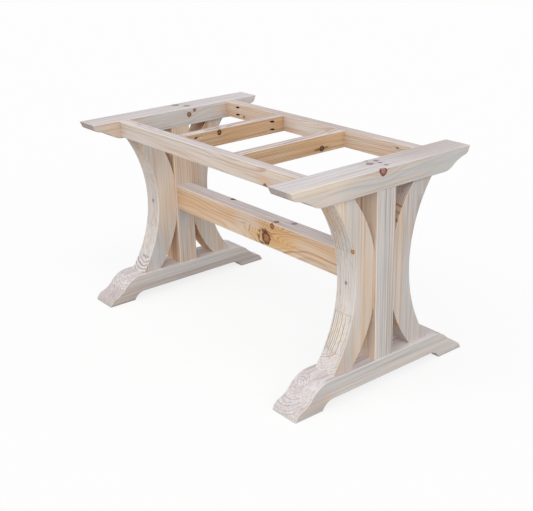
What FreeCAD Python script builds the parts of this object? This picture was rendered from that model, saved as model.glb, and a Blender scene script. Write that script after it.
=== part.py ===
import FreeCAD, Part
import math
import os

# A trestle table base in plain pine. Two like trestles, each a foot, a post, two curved legs and a header,
# are tied by a stretcher at mid height and by two rails with two cross rails at the top.
# X runs from trestle to trestle, Y along the feet, Z up. The origin is on the floor at the centre.

V = FreeCAD.Vector

# Overall sizes
base_height = 724.0
trestle_spacing = 1115.0        # between the trestles' centre planes
edge_ease = 2.0                 # set-back of the small bevel along the edges

# Foot: a thick bar with an ogee at each end, and hollowed below so that it stands on two pads
foot_length = 755.0
foot_width = 112.0
foot_height = 95.0
foot_ogee_run = 134.0           # from the nose to where the top is flat
foot_bulge_radius = 95.0
pad_length = 111.0
relief_height = 28.0
relief_corner_radius = 50.0

# Header: a lighter bar with the same kind of end, turned upside down
header_length = 750.0
header_width = 104.0
header_height = 66.0
header_ogee_run = 108.0
header_bulge_radius = 66.0

# Ends of both bars: a slanted nose, then a cove and a bulge that flow into each other
nose_height = 26.0
nose_slant = 11.0
cove_tilt = 6.0                 # slope of the cove where it leaves the nose, in degrees

# Post: flush with the header's faces, with a blind tenon at each end
post_width = 80.0
post_tenon_width = 40.0
post_tenon_depth = 64.0
post_tenon_length = 42.0

# Curved legs: back to back on the post, set back from its faces
leg_setback = 10.0
leg_kick = 91.0                 # from the post's side out to the leg's inner corner, at both ends
leg_end_width = 81.0
leg_waist = 78.0
glue_flat_depth = 11.0          # planed off the belly where it is glued to the post

# Stretcher between the posts
stretcher_width = 70.0
stretcher_height = 96.0
stretcher_tenon_width = 34.0
stretcher_tenon_height = 60.0
stretcher_tenon_length = 46.0

# Top frame
rail_thickness = 40.0
rail_height = 60.0
rail_offset = 244.0             # from the base's centre plane to a rail's centre
cross_rail_spacing = 328.0

# Wood joints
tenon_clearance = 0.2
glue_space = 2.0                # left empty beyond the end of a tenon
loose_tenon_thickness = 14.0
loose_tenon_width = 50.0
loose_tenon_length = 60.0

# Pocket screws
pocket_angle = 15.0
pocket_diameter = 9.5
pocket_stop = 30.0              # wood left under the screw's head, along the screw
pocket_pitch = 29.0
rail_pocket_exit = 22.0         # from the pocketed face to where the screw leaves a rail's end
cross_pocket_exit = 17.0
screw_sides = 10                # facets of the screws and of the holes that they fill
screw_diameter = 4.2
screw_length = 62.0
screw_tip_length = 7.0
screw_tip_diameter = 0.8
screw_head_diameter = 9.0
screw_head_height = 2.6
screw_socket = 3.2
screw_socket_depth = 1.6
shank_clearance = 0.4
bite_clearance = 0.05

# Places that follow from the sizes
trestle_x = trestle_spacing / 2
header_bottom = base_height - header_height
post_depth = header_width
post_side = post_width / 2
leg_thickness = post_depth - 2 * leg_setback
leg_height = header_bottom - foot_height
middle_z = (header_bottom + foot_height) / 2
inner_face_x = trestle_x - header_width / 2
leg_inner_y = post_side + leg_kick
leg_centre_y = leg_inner_y + leg_end_width / 2
rail_inner_y = rail_offset - rail_thickness / 2
rail_bottom = base_height - rail_height
rail_middle_z = base_height - rail_height / 2


def arc(centre, start, end):
    """The shorter arc about a centre from start to end."""
    towards_middle = (start - centre) + (end - centre)
    towards_middle.normalize()
    middle = centre + towards_middle * (start - centre).Length
    return Part.Arc(start, middle, end).toShape()


def block(x_range, y_range, z_range):
    """A box between two limits along each axis."""
    low = V(x_range[0], y_range[0], z_range[0])
    high = V(x_range[1], y_range[1], z_range[1])
    size = high - low
    return Part.makeBox(size.x, size.y, size.z, low)


def around(centre, size):
    """The two limits of a size about a centre."""
    return (centre - size / 2, centre + size / 2)


def board(outline, thickness):
    """An outline in the YZ plane, given thickness evenly to both sides of X = 0."""
    face = Part.Face(Part.Wire(outline))
    face.translate(V(-thickness / 2, 0, 0))
    return face.extrude(V(thickness, 0, 0))


def both_ends(half):
    """Join a half bar, drawn for Y above 0, with its mirror image."""
    return half.fuse(half.mirror(V(0, 0, 0), V(0, 1, 0))).removeSplitter()


def eased(solid, wanted):
    """Take a small bevel off the edges that the test picks."""
    edges = [edge for edge in solid.Edges if wanted(edge)]
    return solid.makeChamfer(edge_ease, edges)


def runs_along(edge, direction):
    """Whether an edge is a straight line along a direction."""
    if not isinstance(edge.Curve, Part.Line):
        return False
    return abs(abs(edge.Curve.Direction.dot(direction)) - 1) < 1e-6


def ogee(tip_y, run, bulge_radius, flat_z, nose_z, tip_z):
    """The edges of a bar's end from its flat, round the bulge and the cove, to the corner of its nose.

    The bulge starts level with the flat. The cove touches the bulge, and leaves the nose at cove_tilt.
    """
    up = 1 if flat_z > nose_z else -1
    nose = V(0, tip_y - nose_slant, nose_z)
    flat = V(0, nose.y - run, flat_z)
    bulge_centre = flat - V(0, 0, up * bulge_radius)
    tilt = math.radians(cove_tilt)
    to_cove_centre = V(0, math.sin(tilt), up * math.cos(tilt))
    reach = nose - bulge_centre
    cove_radius = (reach.dot(reach) - bulge_radius ** 2) / (2 * (bulge_radius - reach.dot(to_cove_centre)))
    cove_centre = nose + to_cove_centre * cove_radius
    share = bulge_radius / (bulge_radius + cove_radius)
    turn = bulge_centre + (cove_centre - bulge_centre) * share
    tip = V(0, tip_y, tip_z)
    return [arc(bulge_centre, flat, turn), arc(cove_centre, turn, nose), Part.makeLine(nose, tip)]


def foot_bar():
    """The foot, with its hollow underside, about X = 0."""
    tip_y = foot_length / 2
    end = ogee(tip_y, foot_ogee_run, foot_bulge_radius, foot_height, nose_height, 0)
    flat_y = tip_y - nose_slant - foot_ogee_run
    pad_y = tip_y - pad_length
    rise = relief_corner_radius - relief_height
    corner_run = math.sqrt(relief_corner_radius ** 2 - rise ** 2)
    corner = V(0, pad_y - corner_run, relief_height)
    outline = [Part.makeLine(V(0, 0, foot_height), V(0, flat_y, foot_height))]
    outline += end
    outline.append(Part.makeLine(V(0, tip_y, 0), V(0, pad_y, 0)))
    outline.append(arc(corner - V(0, 0, relief_corner_radius), V(0, pad_y, 0), corner))
    outline.append(Part.makeLine(corner, V(0, 0, relief_height)))
    outline.append(Part.makeLine(V(0, 0, relief_height), V(0, 0, foot_height)))
    bar = both_ends(board(outline, foot_width))
    return eased(bar, lambda edge: abs(edge.BoundBox.XLength) < 1e-6)


def header_bar():
    """The header about X = 0."""
    tip_y = header_length / 2
    nose_z = base_height - nose_height
    end = ogee(tip_y, header_ogee_run, header_bulge_radius, header_bottom, nose_z, base_height)
    flat_y = tip_y - nose_slant - header_ogee_run
    outline = [Part.makeLine(V(0, 0, header_bottom), V(0, flat_y, header_bottom))]
    outline += end
    outline.append(Part.makeLine(V(0, tip_y, base_height), V(0, 0, base_height)))
    outline.append(Part.makeLine(V(0, 0, base_height), V(0, 0, header_bottom)))
    bar = both_ends(board(outline, header_width))
    return eased(bar, lambda edge: abs(edge.BoundBox.XLength) < 1e-6)


def curved_leg():
    """The leg on the +Y side of the post, about X = 0.

    Its outer edge is hollow and its inner edge is a belly, both single arcs. A flat on the belly is the
    width that is glued to the post's side.
    """
    half = leg_height / 2
    bottom = middle_z - half
    top = middle_z + half
    outer_y = leg_inner_y + leg_end_width
    hollow = outer_y - (post_side + leg_waist)
    hollow_radius = (half ** 2 + hollow ** 2) / (2 * hollow)
    hollow_centre = V(0, outer_y - hollow + hollow_radius, middle_z)
    belly = leg_kick + glue_flat_depth
    belly_radius = (half ** 2 + belly ** 2) / (2 * belly)
    belly_centre = V(0, leg_inner_y - belly + belly_radius, middle_z)
    flat_half = math.sqrt(belly_radius ** 2 - (belly_radius - glue_flat_depth) ** 2)
    flat_low = V(0, post_side, middle_z - flat_half)
    flat_high = V(0, post_side, middle_z + flat_half)
    inner_low = V(0, leg_inner_y, bottom)
    inner_high = V(0, leg_inner_y, top)
    outer_low = V(0, outer_y, bottom)
    outer_high = V(0, outer_y, top)
    outline = [
        Part.makeLine(inner_low, outer_low),
        arc(hollow_centre, outer_low, outer_high),
        Part.makeLine(outer_high, inner_high),
        arc(belly_centre, inner_high, flat_high),
        Part.makeLine(flat_high, flat_low),
        arc(belly_centre, flat_low, inner_low),
    ]
    leg = board(outline, leg_thickness)
    return eased(leg, lambda edge: isinstance(edge.Curve, Part.Circle))


def post_tenon(low, high, clearance):
    """A tenon of the post between two heights, or its mortise when there is a clearance."""
    x_range = around(0, post_tenon_depth + 2 * clearance)
    y_range = around(0, post_tenon_width + 2 * clearance)
    return block(x_range, y_range, (low, high))


def post():
    """The post about X = 0, with a tenon up into the header and one down into the foot."""
    body = block(around(0, post_depth), around(0, post_width), (foot_height, header_bottom))
    body = eased(body, lambda edge: runs_along(edge, V(0, 0, 1)))
    low = foot_height - post_tenon_length
    high = header_bottom + post_tenon_length
    return body.fuse(post_tenon(low, high, 0)).removeSplitter()


def stretcher_tenon(length, clearance):
    """The stretcher's tenons at both ends, as one bar, or their mortises when there is a clearance."""
    reach = inner_face_x + length
    y_range = around(0, stretcher_tenon_width + 2 * clearance)
    z_range = around(middle_z, stretcher_tenon_height + 2 * clearance)
    return block((-reach, reach), y_range, z_range)


def stretcher():
    """The bar between the posts, with a tenon into each."""
    z_range = around(middle_z, stretcher_height)
    body = block((-inner_face_x, inner_face_x), around(0, stretcher_width), z_range)
    body = eased(body, lambda edge: runs_along(edge, V(1, 0, 0)))
    return body.fuse(stretcher_tenon(stretcher_tenon_length, 0)).removeSplitter()


def loose_tenon_places(joint_z):
    """The centres of the loose tenons between the legs and one bar of a trestle, about X = 0."""
    return [V(0, y, joint_z) for y in around(0, 2 * leg_centre_y)]


def loose_tenon(centre, clearance, spare_length):
    """A loose tenon, halved by the joint that it crosses, or both its mortises when there is a clearance."""
    x_range = around(centre.x, loose_tenon_width + 2 * clearance)
    y_range = around(centre.y, loose_tenon_thickness + 2 * clearance)
    z_range = around(centre.z, loose_tenon_length + 2 * spare_length)
    return block(x_range, y_range, z_range)


def ring(radius, place):
    """A many-sided outline of a slim round bar, with its corners on the radius."""
    turns = [2 * math.pi * step / screw_sides for step in range(screw_sides + 1)]
    outline = Part.makePolygon([V(radius * math.cos(turn), radius * math.sin(turn), 0) for turn in turns])
    outline.Placement = place
    return outline


def rod(radius, length, start, direction):
    """A slim round bar from a start point along a direction."""
    place = FreeCAD.Placement(start, FreeCAD.Rotation(V(0, 0, 1), direction))
    return Part.Face(ring(radius, place)).extrude(direction * length)


class PocketScrew:
    """A screw through the end of one board into the face of another, from a pocket in the first one's side.

    corner is where the pocketed face meets the joint, at the screw's height. away points along the pocketed
    board from the joint, and inward from its pocketed face into the wood.
    """

    def __init__(self, corner, away, inward, exit_depth):
        angle = math.radians(pocket_angle)
        self.drive = inward * math.sin(angle) - away * math.cos(angle)
        self.exit = corner + inward * exit_depth
        self.seat = self.exit - self.drive * pocket_stop
        self.to_face = exit_depth / math.sin(angle) - pocket_stop
        self.past_face = pocket_diameter / math.tan(angle)

    def pocket(self):
        """What is bored out of the first board: the pocket and a clear hole for the shank."""
        length = self.to_face + self.past_face
        bore = Part.makeCylinder(pocket_diameter / 2, length, self.seat, self.drive * -1)
        radius = screw_diameter / 2 + shank_clearance
        return bore.fuse(rod(radius, pocket_stop + pocket_diameter, self.seat, self.drive))

    def bite(self):
        """What the screw's end cuts out of the second board."""
        return rod(screw_diameter / 2 + bite_clearance, screw_length + glue_space, self.seat, self.drive)

    def screw(self):
        """The screw, with a flat washer head, a square socket and a point."""
        radius = screw_diameter / 2
        shank_length = screw_length - screw_tip_length
        shank = rod(radius, shank_length, self.seat, self.drive)
        turn = FreeCAD.Rotation(V(0, 0, 1), self.drive)
        wide = ring(radius, FreeCAD.Placement(self.seat + self.drive * shank_length, turn))
        narrow = ring(screw_tip_diameter / 2, FreeCAD.Placement(self.seat + self.drive * screw_length, turn))
        point = Part.makeLoft([wide, narrow], True, True)
        head = rod(screw_head_diameter / 2, screw_head_height, self.seat, self.drive * -1)
        socket = Part.makeBox(screw_socket, screw_socket, screw_socket_depth)
        socket.translate(V(-screw_socket / 2, -screw_socket / 2, screw_head_height - screw_socket_depth))
        back = FreeCAD.Rotation(V(0, 0, 1), self.drive * -1)
        socket.Placement = FreeCAD.Placement(self.seat, back).multiply(socket.Placement)
        return head.cut(socket).fuse(shank).fuse(point).removeSplitter()


def pocket_screws(board_end, away, inward, exit_depth):
    """The pair of screws at one end of a board, one above the other."""
    heights = around(rail_middle_z, pocket_pitch)
    corners = [V(board_end.x, board_end.y, height) for height in heights]
    return [PocketScrew(corner, away, inward, exit_depth) for corner in corners]


def rail(side):
    """One long rail and the screws at its ends. Its pockets face the middle of the base."""
    y_range = around(side * rail_offset, rail_thickness)
    bar = block((-inner_face_x, inner_face_x), y_range, (rail_bottom, base_height))
    bar = eased(bar, lambda edge: runs_along(edge, V(1, 0, 0)))
    screws = []
    for end in (-1, 1):
        corner = V(end * inner_face_x, side * rail_inner_y, 0)
        screws += pocket_screws(corner, V(-end, 0, 0), V(0, side, 0), rail_pocket_exit)
    return bar, screws


def cross_rail(side):
    """One cross rail and the screws at its ends. Its pockets face the middle of the base."""
    x_range = around(side * cross_rail_spacing / 2, rail_thickness)
    bar = block(x_range, (-rail_inner_y, rail_inner_y), (rail_bottom, base_height))
    bar = eased(bar, lambda edge: runs_along(edge, V(0, 1, 0)))
    pocketed_x = side * (cross_rail_spacing - rail_thickness) / 2
    screws = []
    for end in (-1, 1):
        corner = V(pocketed_x, end * rail_inner_y, 0)
        screws += pocket_screws(corner, V(0, -end, 0), V(side, 0, 0), cross_pocket_exit)
    return bar, screws


def cut_all(solid, tools):
    """Take a list of tools out of a solid."""
    return solid.cut(Part.makeCompound(tools))


# The top frame comes first, because its screws also leave holes in the headers and in the rails
sides = {"left": -1, "right": 1}
rows = {"front": -1, "rear": 1}
nodes = {}
rail_screws = []
cross_screws = []
for place, side in sides.items():
    bar, screws = cross_rail(side)
    nodes[place + "_cross_rail"] = cut_all(bar, [screw.pocket() for screw in screws])
    cross_screws += screws
for place, row in rows.items():
    bar, screws = rail(row)
    holes = [screw.pocket() for screw in screws] + [screw.bite() for screw in cross_screws]
    nodes[place + "_rail"] = cut_all(bar, holes)
    rail_screws += screws
nodes["rail_screws"] = Part.makeCompound([screw.screw() for screw in rail_screws])
nodes["cross_rail_screws"] = Part.makeCompound([screw.screw() for screw in cross_screws])
nodes["stretcher"] = stretcher()

# The trestles are built about X = 0 and moved to their places
foot_mortise = post_tenon(foot_height - post_tenon_length - glue_space, foot_height, tenon_clearance)
header_mortise = post_tenon(header_bottom, header_bottom + post_tenon_length + glue_space, tenon_clearance)
stretcher_mortises = stretcher_tenon(stretcher_tenon_length + glue_space, tenon_clearance)
joints = {"foot": loose_tenon_places(foot_height), "header": loose_tenon_places(header_bottom)}
loose_tenons = {}
loose_mortises = {}
for bar_name, places in joints.items():
    loose_tenons[bar_name] = [loose_tenon(place, 0, 0) for place in places]
    loose_mortises[bar_name] = [loose_tenon(place, tenon_clearance, glue_space) for place in places]
plain_leg = curved_leg()
for place, side in sides.items():
    shift = V(side * trestle_x, 0, 0)
    trestle = {
        "foot": cut_all(foot_bar(), loose_mortises["foot"] + [foot_mortise]),
        "header": cut_all(header_bar(), loose_mortises["header"] + [header_mortise]),
        "post": post(),
        "foot_loose_tenons": Part.makeCompound(loose_tenons["foot"]),
        "header_loose_tenons": Part.makeCompound(loose_tenons["header"]),
    }
    for row_name, row in rows.items():
        leg = plain_leg if row > 0 else plain_leg.mirror(V(0, 0, 0), V(0, 1, 0))
        trestle[row_name + "_leg"] = cut_all(leg, loose_mortises["foot"] + loose_mortises["header"])
    for piece, shape in trestle.items():
        shape.translate(shift)
        nodes[place + "_" + piece] = shape
    header = place + "_header"
    nodes[header] = cut_all(nodes[header], [screw.bite() for screw in rail_screws])
    nodes[place + "_post"] = nodes[place + "_post"].cut(stretcher_mortises)

os.makedirs("parts", exist_ok=True)
for name, shape in nodes.items():
    shape.exportStep("parts/" + name + ".step")
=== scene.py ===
import math
from collections import namedtuple

import bpy
import numpy as np
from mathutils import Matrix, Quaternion, Vector


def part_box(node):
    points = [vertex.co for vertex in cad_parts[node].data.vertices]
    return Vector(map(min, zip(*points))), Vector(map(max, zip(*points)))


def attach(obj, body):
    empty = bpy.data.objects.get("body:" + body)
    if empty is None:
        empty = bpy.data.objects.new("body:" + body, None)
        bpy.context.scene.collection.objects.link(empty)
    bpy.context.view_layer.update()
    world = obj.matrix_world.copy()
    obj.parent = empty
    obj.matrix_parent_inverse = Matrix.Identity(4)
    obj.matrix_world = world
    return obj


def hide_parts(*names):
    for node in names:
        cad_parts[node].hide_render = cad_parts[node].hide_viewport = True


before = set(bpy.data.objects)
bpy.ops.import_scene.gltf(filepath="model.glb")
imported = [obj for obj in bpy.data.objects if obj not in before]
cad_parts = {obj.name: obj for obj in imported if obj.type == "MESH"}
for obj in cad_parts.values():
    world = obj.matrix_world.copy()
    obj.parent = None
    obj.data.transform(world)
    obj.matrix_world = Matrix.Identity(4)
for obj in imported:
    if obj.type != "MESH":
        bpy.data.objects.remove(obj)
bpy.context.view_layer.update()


# Feet: thick pine bars on the floor, one under each trestle, glued up from two boards one on the other.
# Their ends are sawn to an ogee with a rounded nose, and their undersides are hollowed to leave two pads.
# They are sanded, and their arrises are rounded a little.
arris_radius = 0.002
arris_steps = 4
smooth_bend = math.radians(30)
foot_ogee_run = 0.134
foot_bulge_radius = 0.095
nose_height = 0.026
nose_slant = 0.011
foot_nose_ease = 0.019
cove_tilt = math.radians(6)
pad_length = 0.111
hollow_height = 0.028
hollow_corner_radius = 0.050
bulge_points = 24
cove_points = 48
nose_points = 13
hollow_corner_points = 16


def arc(centre, start, end, steps):
    """The shorter arc from start to end: centre + radius (cos a, sin a), for even steps of the angle a."""
    first = math.atan2(start[1] - centre[1], start[0] - centre[0])
    last = math.atan2(end[1] - centre[1], end[0] - centre[0])
    turn = (last - first + math.pi) % (2 * math.pi) - math.pi
    angle = first + turn * np.linspace(0, 1, steps)
    radius = math.dist(centre, start)
    return np.column_stack([centre[0] + radius * np.cos(angle), centre[1] + radius * np.sin(angle)])


def ogee(tip_y, run, bulge_radius, nose_ease, flat_z, nose_z, tip_z):
    """A bulge that starts level with the flat, then a cove that touches it, and a rounded nose.

    The cove's centre lies on the line through the nose at the cove's tilt, where its distance from the
    bulge's centre is the sum of both radii. The nose is the curve (1 - t)^2 a + 2 t (1 - t) n + t^2 b:
    a lies on the cove and b on the slant beyond the sharp nose n, each about the ease away from n.
    """
    up = math.copysign(1, flat_z - nose_z)
    nose = np.array([tip_y - nose_slant, nose_z])
    flat = np.array([nose[0] - run, flat_z])
    bulge_centre = flat - [0, up * bulge_radius]
    to_cove = np.array([math.sin(cove_tilt), up * math.cos(cove_tilt)])
    reach = nose - bulge_centre
    cove_radius = (reach @ reach - bulge_radius ** 2) / (2 * (bulge_radius - reach @ to_cove))
    cove_centre = nose + to_cove * cove_radius
    touch = bulge_centre + (cove_centre - bulge_centre) * bulge_radius / (bulge_radius + cove_radius)
    cove = arc(cove_centre, touch, nose, cove_points)[1:]
    cove = cove[np.linalg.norm(cove - nose, axis=1) > nose_ease]
    slant = np.array([tip_y, tip_z]) - nose
    slant_start = nose + slant * nose_ease / np.linalg.norm(slant)
    t = np.linspace(0, 1, nose_points)[1:, None]
    round_nose = (1 - t) ** 2 * cove[-1] + 2 * t * (1 - t) * nose + t ** 2 * slant_start
    return [arc(bulge_centre, flat, touch, bulge_points), cove, round_nose]


def both_ends(half):
    """A half outline from y = 0 round the end and back, joined to its mirror image in y."""
    outline = np.vstack([half, half[-2:0:-1] * [-1, 1]])
    apart = np.linalg.norm(np.roll(outline, -1, axis=0) - outline, axis=1) > 1e-6
    return outline[apart]


def inset_corners(outline, depths):
    """How far each corner moves when every side of an outline shifts inwards by its own depth.

    A corner moves to where its two shifted sides cross: p . n1 = d1 and p . n2 = d2.
    """
    sides = np.roll(outline, -1, axis=0) - outline
    inward = np.column_stack([-sides[:, 1], sides[:, 0]]) / np.linalg.norm(sides, axis=1)[:, None]
    before, after = np.roll(inward, 1, axis=0), inward
    depth_before, depth_after = np.roll(depths, 1), depths
    bend = before[:, 0] * after[:, 1] - before[:, 1] * after[:, 0]
    straight = np.abs(bend) < 1e-4
    bend = np.where(straight, 1, bend)
    moved_y = (depth_before * after[:, 1] - depth_after * before[:, 1]) / bend
    moved_z = (depth_after * before[:, 0] - depth_before * after[:, 0]) / bend
    crossing = np.column_stack([moved_y, moved_z])
    return np.where(straight[:, None], after * depth_after[:, None], crossing)


def sawn_board(name, outline, middle_x, thickness, eased_sides=None):
    """A closed board: an outline in (y, z), swept straight across x.

    Near both faces the eased sides draw in by a quarter circle: inset = r - r cos a where
    x = thickness / 2 - r + r sin a, so the arrises there are round. Without a list all sides are eased.
    """
    if eased_sides is None:
        eased_sides = np.ones(len(outline))
    area = np.sum(outline[:, 0] * np.roll(outline[:, 1], -1) - np.roll(outline[:, 0], -1) * outline[:, 1])
    if area < 0:
        outline = outline[::-1]
        eased_sides = np.roll(eased_sides[::-1], -1)
    inset = inset_corners(outline, np.where(eased_sides, 1.0, 0.0))
    angle = np.linspace(0, math.pi / 2, arris_steps + 1)
    across = thickness / 2 - arris_radius + arris_radius * np.sin(angle)
    drawn_in = arris_radius - arris_radius * np.cos(angle)
    across = np.concatenate([-across[::-1], across])
    drawn_in = np.concatenate([drawn_in[::-1], drawn_in])
    rows, count = len(across), len(outline)
    points = np.empty((rows, count, 3))
    points[:, :, 0] = middle_x + across[:, None]
    points[:, :, 1:] = outline + drawn_in[:, None, None] * inset
    number = np.arange(rows * count).reshape(rows, count)
    following = np.roll(number, -1, axis=1)
    quads = np.stack([number[:-1], following[:-1], following[1:], number[1:]], axis=-1).reshape(-1, 4)
    faces = quads[:, ::-1].tolist() + [number[0].tolist(), number[-1, ::-1].tolist()]
    mesh = bpy.data.meshes.new(name)
    mesh.from_pydata(points.reshape(-1, 3), [], faces)
    smooth = np.ones(len(faces), bool)
    smooth[-2:] = False
    mesh.polygons.foreach_set("use_smooth", smooth)
    mesh.set_sharp_from_angle(angle=smooth_bend)
    board = bpy.data.objects.new(name, mesh)
    bpy.context.scene.collection.objects.link(board)
    return board


class Figure:
    """A value that varies through the wood: one output socket of a material. Sums on it add Math nodes."""

    def __init__(self, socket):
        self.socket = socket

    def node(self, kind, settings, inputs, output=0):
        """Add a node of any kind: its settings first, then the value or the link of each input."""
        tree = self.socket.id_data
        made = tree.nodes.new(kind)
        for setting, value in settings.items():
            setattr(made, setting, value)
        for place, value in inputs.items():
            if isinstance(value, Figure):
                tree.links.new(value.socket, made.inputs[place])
            else:
                made.inputs[place].default_value = value
        return Figure(made.outputs[output])

    def maths(self, operation, *values):
        return self.node("ShaderNodeMath", {"operation": operation}, dict(enumerate(values)))

    def __add__(self, other):
        return self.maths("ADD", self, other)

    def __sub__(self, other):
        return self.maths("SUBTRACT", self, other)

    def __rsub__(self, other):
        return self.maths("SUBTRACT", other, self)

    def __mul__(self, other):
        return self.maths("MULTIPLY", self, other)

    def __truediv__(self, other):
        return self.maths("DIVIDE", self, other)

    def __rtruediv__(self, other):
        return self.maths("DIVIDE", other, self)

    def __pow__(self, other):
        return self.maths("POWER", self, other)

    def __gt__(self, other):
        return self.maths("GREATER_THAN", self, other)

    def __abs__(self):
        return self.maths("ABSOLUTE", self)

    __radd__ = __add__
    __rmul__ = __mul__

    def rise(self, low, high):
        """0 below low, 1 above high and a smooth slope between them."""
        inputs = {"Value": self, "From Min": low, "From Max": high}
        return self.node("ShaderNodeMapRange", {"interpolation_type": "SMOOTHSTEP"}, inputs)

    def vector(self, operation, other, output=0):
        """Vector Math with another place or direction. Output 1 is the length or the dot product."""
        return self.node("ShaderNodeVectorMath", {"operation": operation}, {0: self, 1: other}, output)

    def mottle(self, scale, detail, output=0):
        """Soft noise, with its own scale along each axis. Output 1 gives three values, as a colour."""
        inputs = {"Vector": self.vector("MULTIPLY", scale), "Scale": 1.0, "Detail": detail}
        return self.node("ShaderNodeTexNoise", {}, inputs, output)

    def axes(self):
        """The three numbers of a place, a direction or a colour."""
        apart = self.node("ShaderNodeSeparateXYZ", {}, {0: self})
        return [Figure(socket) for socket in apart.socket.node.outputs]

    def tint(self, plain, other):
        """A colour that goes from plain to the other as this value goes from 0 to 1.

        A Mix node has its two colours at inputs 6 and 7, and the mixed one at output 2.
        """
        settings = {"data_type": "RGBA", "clamp_factor": True}
        return self.node("ShaderNodeMix", settings, {0: self, 6: plain, 7: other}, 2)


def swatch(red, green, blue):
    """A colour as it looks, from 0 to 255, as the light it throws back, from 0 to 1."""
    shade = np.array([red, green, blue]) / 255
    light = np.where(shade <= 0.04045, shade / 12.92, ((shade + 0.055) / 1.055) ** 2.4)
    return (*light.tolist(), 1.0)


# A strip is one board of a bar: where it ends, how far its pith lies from the bar's middle, the gap between
# its rings, how clearly they show, and how warm and how dull the wood is.
Strip = namedtuple("Strip", "limit pith_a pith_b gap rings warmth dull")

# A knot, or a patch of another colour: its middle and radius, the axis it runs through, its depth there
# and its look.
Knot = namedtuple("Knot", "place radius through depth kind")

# The look of a knot: three colours, how strong the halo and the knot are, how far it lifts the rings,
# and how far its halo is drawn out along the grain. A patch has only a halo.
halo_stretch = 2.4
KnotLook = namedtuple("KnotLook", "heart rim halo spread cover lift stretch", defaults=[halo_stretch])


def patch_look(halo, spread, lift=0.0, stretch=halo_stretch):
    """The look of a patch: soft, of one colour, with no knot in it."""
    return KnotLook(None, None, halo, spread, 0.0, lift, stretch)


pale_wood = swatch(221, 214, 209)
cool_wood = swatch(209, 207, 205)
cream_wood = swatch(231, 208, 184)
tan_wood = swatch(220, 181, 140)
dull_wood = swatch(167, 147, 144)
pale_ring = swatch(158, 148, 141)
warm_ring = swatch(188, 134, 86)
sheen_wood = swatch(233, 226, 228)
sheen_streak = swatch(202, 192, 196)
sheen_ring = swatch(176, 166, 168)
arris_highlight_wood = swatch(238, 230, 223)
glue_colour = swatch(172, 154, 140)
bore_scorch_and_shade = swatch(60, 34, 24)
knot_looks = {
    "shade": patch_look(swatch(190, 177, 171), 0.5),
    "blush": patch_look(swatch(228, 194, 160), 0.6),
    "faded": patch_look(swatch(222, 208, 196), 0.25),
}


def by_strip(level, strips, column):
    """A value for each strip of a glued-up board: it steps to the next strip's at every glue line."""
    values = [getattr(strip, column) for strip in strips]
    total = values[0]
    for strip, step in zip(strips[:-1], np.diff(values)):
        total = total + (level > strip.limit) * float(step)
    return total


def new_finish(name):
    """An empty finish: the material, its shader, and the place of a point on the surface."""
    finish = bpy.data.materials.new(name)
    finish.use_nodes = True
    nodes = finish.node_tree.nodes
    place = Figure(nodes.new("ShaderNodeTexCoord").outputs["Object"])
    return finish, nodes["Principled BSDF"], place


def from_knot(place, knot, grain, stretch=1.0):
    """The way from a knot's middle in knot radii, with its own depth, and drawn out along the grain."""
    sizes = [knot.depth if axis == knot.through else knot.radius for axis in "xyz"]
    sizes = [size * (stretch if axis == grain else 1) for axis, size in zip("xyz", sizes)]
    return place.vector("SUBTRACT", knot.place).vector("DIVIDE", sizes)


def knot_reach(place, knot, grain, stretch=1.0):
    """Distance from a knot's middle, in knot radii."""
    return from_knot(place, knot, grain, stretch).vector("LENGTH", (0, 0, 0), 1)


def grain_lift(place, knot, grain):
    """How much a knot pushes the rings aside, so that they part round it in a lens.

    It is 1 / (1 + along^2 + across + through^2), each way in knot radii.
    """
    gaps = dict(zip("xyz", from_knot(place, knot, grain, knot_looks[knot.kind].stretch).axes()))
    across = [axis for axis in "xyz" if axis not in (grain, knot.through)][0]
    return 1 / (1 + gaps[grain] ** 2 + abs(gaps[across]) + gaps[knot.through] ** 2)


knot_turns = 14
knot_raggedness = 0.9
bark_stretch = 1.6
bark_side = (-0.85, 0, 0.5)


def paint_knot(colour, place, knot, grain):
    """A knot over the wood: a ragged disc with turns of its own and a darker rim.

    Bark has no disc: it is a drawn-out rim, broken up by noise and only on the knot's upper left side.
    """
    look = knot_looks[knot.kind]
    coarse = 1.1 / knot.radius
    rough_noise = place.mottle((coarse, coarse, coarse), 3)
    drawn_out = 1.0 if look.heart else bark_stretch
    ragged = knot_reach(place, knot, grain, drawn_out) + (rough_noise - 0.5) * knot_raggedness
    rim = ragged.rise(0.62, 0.85) * (1 - ragged.rise(1.00, 1.25))
    if look.heart:
        turns = ragged.maths("SINE", ragged * knot_turns) * 0.5 + 0.5
        heart = (turns * 0.65).tint(look.heart, look.rim)
        colour = ((1 - ragged.rise(0.80, 1.05)) * look.cover).tint(colour, heart)
    else:
        towards_bark = from_knot(place, knot, grain).vector("DOT_PRODUCT", bark_side, 1)
        rim = rim * rough_noise.rise(0.40, 0.50) * towards_bark.rise(-0.4, 0.4)
    return (rim * look.cover * 0.9).tint(colour, look.rim)


grain_depth = 0.0004
grain_relief = 0.35
sanded_roughness = 0.66
sanded_gloss = 0.3
glue_line = (0.0002, 0.0010)
glue_tint = 0.25
chamfer_depth = (0.0011, 0.0016)
dark_bore_depth = (0.0040, 0.0070)


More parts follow.
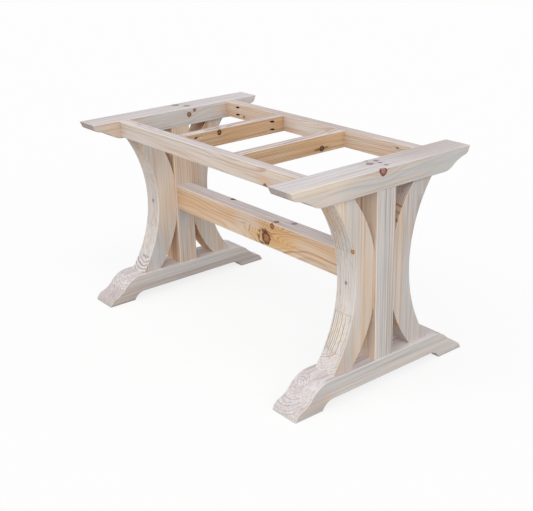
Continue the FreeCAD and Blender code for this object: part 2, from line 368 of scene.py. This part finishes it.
def pine(name, grain, box, strips, glued="z", knots=(), lean=(0.01, 0.006), wander=0.02, top_sheen=0.75,
         warm_tone_shade_and_bounce=(), variety=1.0, end_dull=0.0, ring=warm_ring, edge="x", arris_highlight=0.75, bored=False):
    """Sawn pine: rings about a pith that lies beside each strip of the board, with warm and pale stretches.

    Ring number = distance from the pith / ring gap, where the pith leans along the grain and wanders with
    soft noise. Within a ring the wood darkens towards its late edge and then drops back at once. Knots lift
    the rings around them. Sawn ends show the rings most. Upper faces are paler and greyer, a painted sheen,
    and arrises are paler, a painted highlight. The rings fade on faces turned down, as painted shade.
    Faces turned given ways grow warmer: by the wood's own tone, or by painted warm shade and bounce light.
    """
    finish, shader, place = new_finish(name)
    normal = place.node("ShaderNodeNewGeometry", {}, {}, "Normal")
    apart = dict(zip("xyz", place.axes()))
    facing = dict(zip("xyz", normal.axes()))
    level = apart[glued]
    low, high = box
    middle = dict(zip("xyz", (low + high) / 2))
    half = dict(zip("xyz", (high - low) / 2))
    side_a, side_b = "xyz".replace(grain, "")

    def grain_noise(along, across, detail, output=0):
        return place.mottle([along if axis == grain else across for axis in "xyz"], detail, output)

    drift = grain_noise(1.4, 6, 2, 1).axes()
    from_a = apart[side_a] - by_strip(level, strips, "pith_a") - middle[side_a]
    from_b = apart[side_b] - by_strip(level, strips, "pith_b") - middle[side_b]
    from_a = from_a - (apart[grain] - middle[grain]) * lean[0] - (drift[0] - 0.5) * wander
    from_b = from_b - (apart[grain] - middle[grain]) * lean[1] - (drift[1] - 0.5) * wander
    distance = (from_a ** 2 + from_b ** 2) ** 0.5
    swirl = 0
    for knot in knots:
        lift = grain_lift(place, knot, grain) * knot_looks[knot.kind].lift
        distance = distance + lift * knot.radius
        swirl = swirl + lift * 0.4

    rings = distance / by_strip(level, strips, "gap") + (grain_noise(5, 60, 1) - 0.5) * 0.6
    within = rings.maths("FRACT", rings)
    ring_number = rings.maths("FLOOR", rings)
    boldness = rings.node("ShaderNodeTexWhiteNoise", {"noise_dimensions": "1D"}, {"W": ring_number})
    fibre = grain_noise(9, 420, 3)
    streak = grain_noise(0.9, 48, 3)
    fine_streak = grain_noise(2.5, 170, 2)
    patch = grain_noise(2.4, 9, 1)
    cloud = grain_noise(1.7, 24, 2)
    sawn_end = abs(facing[grain]).rise(0.05, 0.45)
    # Painted shade: the rings show less on faces turned down.
    turned_down = (facing["z"] * -1).rise(0.15, 0.5)
    strength = by_strip(level, strips, "rings") * patch.rise(0.2, 0.6) * (0.4 + sawn_end * 0.6)
    strength = strength * (1 - turned_down * 0.6) + swirl
    late = within.rise(0.45, 0.88) * (1 - within.rise(0.92, 1.0)) * (0.2 + boldness ** 1.5 * 1.2) * strength

    uneven = (patch - 0.5) * 0.8 + (streak - 0.5) * 1.6 + (fine_streak - 0.5) * 0.8
    warm = by_strip(level, strips, "warmth") + uneven * variety
    # Faces turned given ways grow warmer: the wood's own tone, or painted warm shade and bounce light.
    for direction, amount in warm_tone_shade_and_bounce:
        warm = warm + normal.vector("DOT_PRODUCT", direction, 1).rise(0.3, 0.8) * amount
    warm = warm.rise(0, 1)
    colour = (warm * 2).tint(cloud.rise(0.35, 0.65).tint(pale_wood, cool_wood), cream_wood)
    colour = (warm * 2 - 1).tint(colour, tan_wood)
    # Painted sheen: faces turned up go paler and greyer, with fainter streaks and rings.
    up = facing["z"].rise(0.15, 0.95) * top_sheen
    streaky = streak.rise(0.42, 0.70) * 0.5 + fine_streak.rise(0.45, 0.70) * 0.6
    colour = up.tint(colour, streaky.tint(sheen_wood, sheen_streak))
    dull = by_strip(level, strips, "dull") + (fine_streak - 0.5) * 0.4 + sawn_end * end_dull
    colour = (dull * (1 - up * 0.2)).tint(colour, dull_wood)
    for knot in knots:
        look = knot_looks[knot.kind]
        reach = knot_reach(place, knot, grain, look.stretch)
        colour = ((1 - reach.rise(0.5, 2.0)) * look.spread).tint(colour, look.halo)
    ring_colour = up.tint((warm * 1.5).tint(pale_ring, ring), sheen_ring)
    colour = late.tint(colour, ring_colour)
    colour = (fine_streak.rise(0.48, 0.70) * 0.3 + fibre.rise(0.35, 0.75) * 0.15).tint(colour, ring_colour)
    for strip in strips[:-1]:
        colour = ((1 - abs(level - strip.limit).rise(*glue_line)) * glue_tint).tint(colour, glue_colour)
    # Painted highlight: rounded arrises turn paler, as edges that catch the light.
    slant = abs(facing[edge])
    arris = (slant * (1 - slant) * 4).rise(0.3, 0.8) * arris_highlight
    if bored:
        depth_a = half[side_a] - abs(apart[side_a] - middle[side_a])
        depth_b = half[side_b] - abs(apart[side_b] - middle[side_b])
        inside = depth_a.maths("MINIMUM", depth_a, depth_b)
        arris = arris * (1 - inside.rise(*chamfer_depth))
        # Deep in the pocket bores the wood turns dark: painted shade, with some drill scorch.
        colour = inside.rise(*dark_bore_depth).tint(colour, bore_scorch_and_shade)
    colour = arris.tint(colour, arris_highlight_wood)
    for knot in knots:
        if knot_looks[knot.kind].cover:
            colour = paint_knot(colour, place, knot, grain)

    links = finish.node_tree.links
    links.new(colour.socket, shader.inputs["Base Color"])
    links.new((sanded_roughness + fibre * 0.18 - late * 0.08).socket, shader.inputs["Roughness"])
    height = late * 0.5 + fibre * 0.5
    relief = {"Height": height, "Distance": grain_depth, "Strength": grain_relief}
    bump = height.node("ShaderNodeBump", {}, relief)
    links.new(bump.socket, shader.inputs["Normal"])
    shader.inputs["Specular IOR Level"].default_value = sanded_gloss
    return finish


def dress(piece, finish):
    """Give a piece one finish in place of any that it has."""
    piece.data.materials.clear()
    piece.data.materials.append(finish)


def foot_outline(low, high):
    """The foot's outline in (y, z), between its box's corners."""
    tip = high.y
    top = high.z
    flat_y = tip - nose_slant - foot_ogee_run
    pad_y = tip - pad_length
    run = math.sqrt(hollow_corner_radius ** 2 - (hollow_corner_radius - hollow_height) ** 2)
    corner = np.array([pad_y - run, hollow_height])
    half = [[(0, top), (flat_y, top)]]
    half += ogee(tip, foot_ogee_run, foot_bulge_radius, foot_nose_ease, top, nose_height, 0)
    half.append([(tip, 0), (pad_y, 0)])
    half.append(arc(corner - [0, hollow_corner_radius], (pad_y, 0), corner, hollow_corner_points)[1:])
    half.append([(0, hollow_height)])
    return both_ends(np.vstack(half))


foot_strips = {
    "left": [
        Strip(0.054, -0.06, -0.08, 0.0070, 1.2, 0.10, 0.42),
        Strip(1, 0.02, 0.090, 0.0050, 0.9, 0.03, 0.05),
    ],
    "right": [
        Strip(0.072, -0.03, 0.065, 0.0055, 0.8, 0.12, 0.08),
        Strip(1, -0.026, 0.0, 0.0055, 0.8, 0.10, 0.06),
    ],
}
foot_knots = {
    "left": [Knot((-0.5015, -0.325, 0.030), 0.030, "x", 0.008, "faded")],
    "right": [
        Knot((0.6135, -0.310, 0.030), 0.030, "x", 0.006, "shade"),
        Knot((0.6135, -0.247, 0.034), 0.006, "x", 0.010, "blush"),
    ],
}
for side, strips in foot_strips.items():
    box = low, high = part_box(side + "_foot")
    foot = sawn_board(side + "_foot_wood", foot_outline(low, high), (low.x + high.x) / 2, high.x - low.x)
    dress(foot, pine(side + "_foot_pine", "y", box, strips, knots=foot_knots[side], variety=0.5))
    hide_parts(side + "_foot")
    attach(foot, "root")


# Posts: straight pine bars tenoned into the foot and the header, at the middle of each trestle.
# They are flush with the header's faces, and their sides carry the curved legs.
post_strips = {
    "left": [Strip(1, 0.02, 0.13, 0.010, 2.0, 0.36, 0.10)],
    "right": [Strip(1, 0.02, -0.14, 0.010, 3.0, 0.02, 0.05)],
}
knot_looks.update({
    "honey": patch_look(swatch(236, 206, 172), 0.6),
    "cream": patch_look(swatch(240, 225, 208), 0.75),
})
post_knots = {
    "left": [Knot((-0.5055, 0.005, 0.560), 0.050, "x", 0.008, "honey")],
    "right": [
        Knot((0.5575, -0.040, 0.570), 0.045, "y", 0.005, "cream"),
        Knot((0.5575, -0.040, 0.130), 0.045, "y", 0.005, "cream"),
    ],
}
post_variety = {"left": 0.6, "right": 1.0}
gap_shade_warmth = {"left": 0.25, "right": 0.5}
for side, strips in post_strips.items():
    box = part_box(side + "_post")
    # Painted warm shade on the post's sides, in the gaps beside the curved legs.
    leg_sides = [((0, way, 0), gap_shade_warmth[side]) for way in (-1, 1)]
    finish = pine(side + "_post_pine", "z", box, strips, knots=post_knots[side], warm_tone_shade_and_bounce=leg_sides,
                  variety=post_variety[side])
    dress(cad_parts[side + "_post"], finish)


# Curved legs: one on each side of every post, bandsawn from four pine boards glued face to face.
# The outer edge is a hollow arc and the inner one a belly, with a flat where it is glued to the post.
# The ends butt on the foot and the header, each on a loose tenon.
leg_waist = 0.078
leg_end_width = 0.081
glue_flat_depth = 0.011
hollow_points = 49
half_belly_points = 25


def leg_outline(post_side, end_y, bottom, top):
    """The leg's outline in (y, z) for the rear of the post, and which of its sides are arcs.

    An arc through the ends and the waist has radius (h^2 + s^2) / 2 s, for half height h and depth s.
    """
    half = (top - bottom) / 2
    middle = (top + bottom) / 2
    inner_y = end_y - leg_end_width
    hollow = end_y - (post_side + leg_waist)
    hollow_radius = (half ** 2 + hollow ** 2) / (2 * hollow)
    hollow_centre = (end_y - hollow + hollow_radius, middle)
    belly = inner_y - post_side + glue_flat_depth
    belly_radius = (half ** 2 + belly ** 2) / (2 * belly)
    belly_centre = (inner_y - belly + belly_radius, middle)
    flat = math.sqrt(belly_radius ** 2 - (belly_radius - glue_flat_depth) ** 2)
    outer = arc(hollow_centre, (end_y, bottom), (end_y, top), hollow_points)
    upper = arc(belly_centre, (inner_y, top), (post_side, middle + flat), half_belly_points)
    lower = arc(belly_centre, (post_side, middle - flat), (inner_y, bottom), half_belly_points)
    eased = [np.ones(len(run) - 1) for run in (outer, upper, lower)]
    eased = np.concatenate([edge for run in eased for edge in (run, [0])])
    return np.vstack([outer, upper, lower]), eased


knot_looks.update({
    "pale": patch_look(swatch(228, 220, 212), 0.75),
    "cool": patch_look(swatch(211, 210, 210), 0.85),
    "brown_and_recess_shade": patch_look(swatch(188, 138, 92), 0.85),
    "streak": patch_look(swatch(44, 16, 5), 1.0, stretch=4.0),
    "orange": KnotLook(swatch(196, 146, 92), swatch(150, 100, 56), swatch(222, 178, 124), 0.5, 0.9, 0.8),
    "smudge": KnotLook(swatch(172, 152, 148), swatch(100, 80, 84), swatch(198, 184, 188), 0.4, 0.85, 0.8),
})
LegWood = namedtuple("LegWood", "strips side_warmth belly_warmth variety knots")
leg_woods = {
    "left_front": LegWood([
        Strip(-0.175, 0.01, 0.055, 0.0090, 4.0, 0.08, 0.0),
        Strip(-0.130, 0.10, 0.060, 0.0080, 0.2, 0.12, 0.08),
        Strip(-0.085, 0.06, 0.120, 0.0080, 0.3, 0.15, 0.12),
        Strip(1, 0.02, -0.080, 0.0090, 0.3, 0.12, 0.0),
    ], 0.18, 0.6, 0.5, [
        Knot((-0.5575, -0.200, 0.645), 0.040, "y", 0.030, "shade"),
        Knot((-0.5575, -0.208, 0.660), 0.040, "y", 0.030, "shade"),
        # Painted light: a paler patch lifts the soft shadow that the right trestle and the stretcher cast
        # here.
        Knot((-0.5155, -0.075, 0.370), 0.045, "x", 0.008, "cream"),
        Knot((-0.5155, -0.145, 0.155), 0.040, "x", 0.008, "cool"),
        Knot((-0.5565, -0.119, 0.370), 0.006, "y", 0.008, "smudge"),
    ]),
    "left_rear": LegWood([
        Strip(0.085, 0.03, 0.070, 0.0090, 1.2, 0.34, 0.26),
        Strip(0.130, -0.08, -0.080, 0.0070, 0.9, 0.18, 0.16),
        Strip(0.175, 0.12, 0.040, 0.0080, 1.0, 0.22, 0.18),
        Strip(1, 0.02, -0.060, 0.0060, 1.0, 0.18, 0.14),
    ], 0.15, 0.6, 0.45, [
        # A warm brown patch at the belly's top, in the recess beside the post under the header: partly the
        # wood's own brown, partly painted warm shade. A dark streak runs along the header's lower edge.
        Knot((-0.530, 0.120, 0.635), 0.024, "y", 0.014, "brown_and_recess_shade"),
        Knot((-0.522, 0.130, 0.648), 0.004, "y", 0.010, "streak"),
    ]),
    "right_front": LegWood([
        Strip(-0.175, -0.042, 0.077, 0.0055, 1.0, 0.13, 0.0),
        Strip(-0.130, -0.150, -0.027, 0.0085, 1.8, 0.02, 0.0),
        Strip(-0.085, -0.120, 0.010, 0.0060, 0.9, 0.06, 0.0),
        Strip(1, 0.02, -0.095, 0.0100, 1.4, 0.35, 0.06),
    ], 0.34, 0.6, 0.8, [
        # Painted light: a paler patch in the middle of the hollow, where it is lit more strongly.
        Knot((0.557, -0.119, 0.370), 0.042, "y", 0.020, "pale"),
        Knot((0.5995, -0.190, 0.610), 0.030, "x", 0.020, "cream"),
        Knot((0.5995, -0.170, 0.140), 0.036, "x", 0.006, "shade"),
        # Painted light: a paler patch low on the hollow, where it is lit more strongly.
        Knot((0.557, -0.150, 0.210), 0.028, "y", 0.020, "cream"),
        Knot((0.557, -0.119, 0.370), 0.005, "y", 0.008, "smudge"),
        Knot((0.5985, -0.133, 0.487), 0.007, "y", 0.008, "orange"),
    ]),
    "right_rear": LegWood([
        Strip(0.085, 0.03, 0.090, 0.0100, 1.2, 0.30, 0.10),
        Strip(0.130, -0.10, -0.050, 0.0070, 0.9, 0.08, 0.16),
        Strip(0.175, 0.11, 0.030, 0.0080, 1.0, 0.05, 0.20),
        Strip(1, 0.05, -0.050, 0.0060, 1.0, 0.08, 0.20),
    ], 0.05, 0.2, 0.5, []),
}
for name, wood in leg_woods.items():
    side, row = name.split("_")
    way = -1 if row == "front" else 1
    node = name + "_leg"
    box = low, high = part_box(node)
    post_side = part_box(side + "_post")[1].y
    outline, eased = leg_outline(post_side, max(abs(low.y), abs(high.y)), low.z, high.z)
    leg = sawn_board(node + "_wood", outline * [way, 1], (low.x + high.x) / 2, high.x - low.x, eased)
    # Painted warm shade on the belly, in the gap beside the post, and painted warm bounce light on faces
    # turned down under the header.
    belly = ((0, -way, 0), wood.belly_warmth)
    under_header_bounce = ((0, way * 0.3, -0.95), 0.35)
    faces = [belly, under_header_bounce, ((1, 0, 0), wood.side_warmth), ((-1, 0, 0), wood.side_warmth)]
    finish = pine(node + "_pine", "z", box, wood.strips, "y", wood.knots, warm_tone_shade_and_bounce=faces,
                  variety=wood.variety)
    dress(leg, finish)
    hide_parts(node)
    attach(leg, "root")


# Loose tenons: flat hardwood tongues, half in a curved leg and half in the foot or the header.
# They are glued into mortises across the joint, so none of them shows.
tenon_strips = [Strip(1, 0.05, 0.05, 0.003, 0.8, 0.7, 0.2)]
for side in ("left", "right"):
    for bar in ("foot", "header"):
        node = side + "_" + bar + "_loose_tenons"
        dress(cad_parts[node], pine(node + "_wood", "z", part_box(node), tenon_strips))


# Headers: lighter pine bars on top of the trestles, which carry the table top.
# Their ends are sawn to the same ogee as the feet, upside down, and the posts are tenoned into them.
header_ogee_run = 0.108
header_bulge_radius = 0.066
header_nose_ease = 0.010


def header_outline(low, high):
    """The header's outline in (y, z), between its box's corners."""
    tip = high.y
    flat_y = tip - nose_slant - header_ogee_run
    half = [[(0, low.z), (flat_y, low.z)]]
    nose_z = high.z - nose_height
    half += ogee(tip, header_ogee_run, header_bulge_radius, header_nose_ease, low.z, nose_z, high.z)
    half.append([(tip, high.z), (0, high.z)])
    return both_ends(np.vstack(half))


header_strips = {
    "left": [Strip(1, -0.10, -0.03, 0.007, 1.0, 0.02, 0.11)],
    "right": [Strip(1, -0.07, -0.02, 0.006, 1.0, 0.12, 0.0)],
}
knot_looks.update({
    "brown": KnotLook(swatch(158, 122, 100), swatch(112, 78, 62), swatch(212, 188, 168), 0.4, 0.95, 1.0),
    "ringed": KnotLook(swatch(204, 150, 132), swatch(84, 36, 30), swatch(216, 190, 168), 0.3, 1.0, 1.0),
})
header_knots = {
    "left": [
        Knot((-0.5055, 0.043, 0.698), 0.009, "x", 0.020, "brown"),
        Knot((-0.5055, 0.070, 0.712), 0.006, "x", 0.020, "brown"),
        Knot((-0.5055, -0.270, 0.690), 0.035, "x", 0.020, "blush"),
        Knot((-0.5055, 0.222, 0.690), 0.010, "x", 0.020, "blush"),
        Knot((-0.545, 0.062, 0.724), 0.011, "z", 0.010, "smudge"),
        Knot((-0.588, 0.036, 0.724), 0.013, "z", 0.010, "smudge"),
    ],
    "right": [
        Knot((0.6095, -0.290, 0.700), 0.045, "x", 0.020, "cream"),
        Knot((0.6095, -0.018, 0.719), 0.014, "x", 0.008, "ringed"),
        Knot((0.5575, 0.260, 0.724), 0.060, "z", 0.004, "shade"),
        Knot((0.5415, -0.008, 0.724), 0.010, "z", 0.010, "smudge"),
        Knot((0.554, 0.024, 0.724), 0.006, "z", 0.010, "smudge"),
        Knot((0.529, 0.030, 0.724), 0.007, "z", 0.010, "smudge"),
        Knot((0.510, 0.005, 0.724), 0.006, "z", 0.010, "smudge"),
        Knot((0.583, 0.020, 0.724), 0.006, "z", 0.010, "smudge"),
    ],
}
for side, strips in header_strips.items():
    box = low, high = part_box(side + "_header")
    outline = header_outline(low, high)
    header = sawn_board(side + "_header_wood", outline, (low.x + high.x) / 2, high.x - low.x)
    finish = pine(side + "_header_pine", "y", box, strips, "z", header_knots[side], (0.02, 0.01), 0.04,
                  end_dull=0.6)
    dress(header, finish)
    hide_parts(side + "_header")
    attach(header, "root")


# Stretcher: a deep pine bar between the trestles, glued up from two boards side by side.
# It is tenoned into both posts at mid height. Its front board has a large knot with bark round one side.
stretcher_strips = [
    Strip(0.0, 0.075, -0.045, 0.0050, 1.5, 0.62, 0.0),
    Strip(1, -0.08, 0.05, 0.0070, 1.0, 0.15, 0.0),
]
knot_looks.update({
    "flame": patch_look(swatch(226, 176, 110), 0.6),
    "clear": patch_look(swatch(228, 218, 206), 0.7, lift=-0.6),
    "bark": KnotLook(None, swatch(96, 56, 30), swatch(230, 190, 134), 0.3, 1.0, 0.0),
    "red": KnotLook(swatch(196, 138, 94), swatch(84, 46, 26), swatch(228, 184, 124), 0.6, 1.0, 2.4, 4.0),
    "black": KnotLook(swatch(118, 66, 36), swatch(16, 7, 4), swatch(206, 162, 114), 0.3, 1.0, 1.2),
})
stretcher_knots = [
    Knot((0.150, -0.035, 0.375), 0.026, "y", 0.030, "flame"),
    Knot((-0.050, -0.035, 0.388), 0.024, "y", 0.030, "clear"),
    Knot((0.060, -0.035, 0.3595), 0.030, "y", 0.050, "bark"),
    Knot((0.060, -0.035, 0.3595), 0.021, "y", 0.050, "red"),
    Knot((0.094, -0.035, 0.413), 0.010, "y", 0.020, "red"),
    Knot((-0.214, 0.028, 0.4245), 0.010, "z", 0.010, "black"),
    Knot((0.153, 0.018, 0.4245), 0.009, "z", 0.010, "smudge"),
    Knot((0.096, -0.016, 0.4245), 0.009, "z", 0.010, "brown"),
]
finish = pine("stretcher_pine", "x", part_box("stretcher"), stretcher_strips, "y", stretcher_knots,
              (0.02, 0.02), 0.05, top_sheen=0.85, variety=0.5, edge="y")
dress(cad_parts["stretcher"], finish)


# Rails: two long pine bars between the headers, flush with their tops.
# Each end is fixed to its header by two screws in slanted pockets, bored in the face towards the middle.
rail_strips = {
    "front": [Strip(1, 0.03, 0.05, 0.006, 1.5, 0.34, 0.07)],
    "rear": [Strip(1, 0.02, 0.07, 0.006, 1.6, 0.50, 0.20)],
}
rail_leans = {"front": (0.03, -0.10), "rear": (0.05, 0.03)}
rail_knots = {
    "front": [
        Knot((0.352, -0.264, 0.684), 0.013, "y", 0.006, "blush"),
        Knot((0.354, -0.264, 0.664), 0.010, "y", 0.010, "brown"),
    ],
    "rear": [
        Knot((-0.390, 0.224, 0.677), 0.005, "y", 0.010, "brown"),
        Knot((0.010, 0.224, 0.694), 0.032, "y", 0.006, "pale"),
        Knot((-0.050, 0.250, 0.724), 0.090, "z", 0.004, "shade"),
    ],
}
for row, strips in rail_strips.items():
    node = row + "_rail"
    finish = pine(node + "_pine", "x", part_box(node), strips, "z", rail_knots[row], rail_leans[row], 0.06,
                  variety=0.6, edge="y", arris_highlight=0.2, bored=True)
    dress(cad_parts[node], finish)


# Cross rails: two shorter pine bars between the rails, of a browner wood.
# Their tops are flush with the rails, and pocket screws fix them in the same way.
dark_ring = swatch(152, 112, 66)
cross_strips = {
    "left": [Strip(1, 0.02, -0.10, 0.004, 3.6, 0.92, 0.12)],
    "right": [Strip(1, 0.03, -0.11, 0.004, 3.4, 0.84, 0.0)],
}
knot_looks["eye"] = KnotLook(swatch(146, 98, 72), swatch(16, 7, 4), swatch(206, 162, 114), 0.3, 1.0, 1.2)
cross_knots = {
    "left": [
        Knot((-0.144, -0.140, 0.690), 0.022, "x", 0.006, "faded"),
        Knot((-0.144, -0.072, 0.711), 0.009, "x", 0.020, "eye"),
    ],
    "right": [
        Knot((0.184, -0.100, 0.690), 0.034, "x", 0.006, "faded"),
        Knot((0.184, 0.105, 0.679), 0.0036, "x", 0.010, "streak"),
        Knot((0.184, 0.137, 0.680), 0.0022, "x", 0.010, "streak"),
        Knot((0.184, 0.120, 0.679), 0.009, "x", 0.020, "eye"),
    ],
}
for side, strips in cross_strips.items():
    node = side + "_cross_rail"
    finish = pine(node + "_pine", "y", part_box(node), strips, "z", cross_knots[side], (0.03, 0.02), 0.04,
                  variety=0.5, ring=dark_ring, arris_highlight=0.4, bored=True)
    dress(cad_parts[node], finish)


# Pocket screws: zinc-plated steel, with a flat washer head, a square socket and a point.
# They sit deep in their pockets, so mostly the heads show.
zinc = swatch(168, 166, 160)
worn_zinc = swatch(112, 108, 100)


def plated_steel(name):
    """Steel with a thin uneven zinc coat: soft noise mixes a bright and a worn tone, and roughens it."""
    finish, shader, place = new_finish(name)
    links = finish.node_tree.links
    cloud = place.mottle((900, 900, 900), 3)
    links.new(cloud.rise(0.35, 0.7).tint(zinc, worn_zinc).socket, shader.inputs["Base Color"])
    links.new((0.28 + cloud * 0.25).socket, shader.inputs["Roughness"])
    shader.inputs["Metallic"].default_value = 1.0
    return finish


for node in ("rail_screws", "cross_rail_screws"):
    dress(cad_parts[node], plated_steel(node + "_zinc"))


# Floor: a plain white studio floor. To the camera it is nearly white by itself, but it keeps the shadow.
# To the object it is a dull floor, so that the undersides stay in the shade.
floor_half = 40.0
bounce_grey = (0.45, 0.45, 0.45, 1.0)
seen_white = (1.0, 1.0, 1.0, 1.0)
own_white = 0.80


def seen_rays(tree):
    """1 for a ray by which the camera sees a place, also in gloss or through glass, and 0 for others."""
    ray = tree.nodes.new("ShaderNodeLightPath").outputs
    kinds = ("Camera", "Glossy", "Transmission")
    straight, gloss, glass = [Figure(ray["Is %s Ray" % kind]) for kind in kinds]
    return straight.maths("MAXIMUM", straight.maths("MAXIMUM", straight, gloss), glass)


corners = np.array([(-1, -1, 0), (1, -1, 0), (1, 1, 0), (-1, 1, 0)]) * floor_half
floor_mesh = bpy.data.meshes.new("floor")
floor_mesh.from_pydata(corners, [], [(0, 1, 2, 3)])
floor = bpy.data.objects.new("floor", floor_mesh)
bpy.context.scene.collection.objects.link(floor)
floor_finish = bpy.data.materials.new("floor_white")
floor_finish.use_nodes = True
tree = floor_finish.node_tree
tree.nodes.clear()
seen = seen_rays(tree)
matt = seen.node("ShaderNodeBsdfDiffuse", {}, {"Color": seen.tint(bounce_grey, seen_white)})
white = seen.node("ShaderNodeEmission", {}, {"Color": seen_white, "Strength": 1.0})
surface = seen.node("ShaderNodeMixShader", {}, {0: seen * own_white, 1: matt, 2: white})
output = tree.nodes.new("ShaderNodeOutputMaterial")
tree.links.new(surface.socket, output.inputs["Surface"])
dress(floor, floor_finish)


# Light: a white room, and two very wide soft lights, one from before the base and one from its right.
# The room looks white wherever it is seen, and lights the base at half that level.
room_level = 0.49
room = bpy.data.worlds.new("white_room")
bpy.context.scene.world = room
room.use_nodes = True
tree = room.node_tree
tree.nodes.clear()
seen = seen_rays(tree)
dim = seen.node("ShaderNodeBackground", {}, {"Color": seen_white, "Strength": room_level})
bright = seen.node("ShaderNodeBackground", {}, {"Color": seen_white, "Strength": 1.0})
around = seen.node("ShaderNodeMixShader", {}, {0: seen, 1: dim, 2: bright})
output = tree.nodes.new("ShaderNodeOutputWorld")
tree.links.new(around.socket, output.inputs["Surface"])


def soft_light(name, towards, spread, level):
    """A light from far away that fills a wide cone. It lights a white card that faces it to this level."""
    lamp = bpy.data.lights.new(name, "SUN")
    lamp.angle = spread
    lamp.energy = level * math.pi
    light = bpy.data.objects.new(name, lamp)
    light.rotation_euler = Vector(towards).to_track_quat("-Z", "Y").to_euler()
    bpy.context.scene.collection.objects.link(light)


light_spread = math.radians(80)
soft_light("front_light", towards=(0.25, 0.85, -0.50), spread=light_spread, level=0.46)
soft_light("right_light", towards=(-0.90, 0.20, -0.45), spread=light_spread, level=0.48)


# Camera: where the photograph was taken from, to the front right of the base and above its top.
# It is held slightly askew.
image_width = 533
focal_pixels = 904.6
eye = Vector((2.4176, -1.8795, 1.4808))
aim = Vector((0.0050, 0.0065, 0.2657))
roll = math.radians(-1.707)
camera_data = bpy.data.cameras.new("camera")
camera_data.sensor_fit = "HORIZONTAL"
camera_data.sensor_width = 36
camera_data.lens = focal_pixels * camera_data.sensor_width / image_width
camera = bpy.data.objects.new("camera", camera_data)
camera.location = eye
camera.rotation_mode = "QUATERNION"
camera.rotation_quaternion = (aim - eye).to_track_quat("-Z", "Y") @ Quaternion((0, 0, 1), roll)
bpy.context.scene.collection.objects.link(camera)
bpy.context.scene.camera = camera
bpy.context.scene.view_settings.view_transform = "Standard"
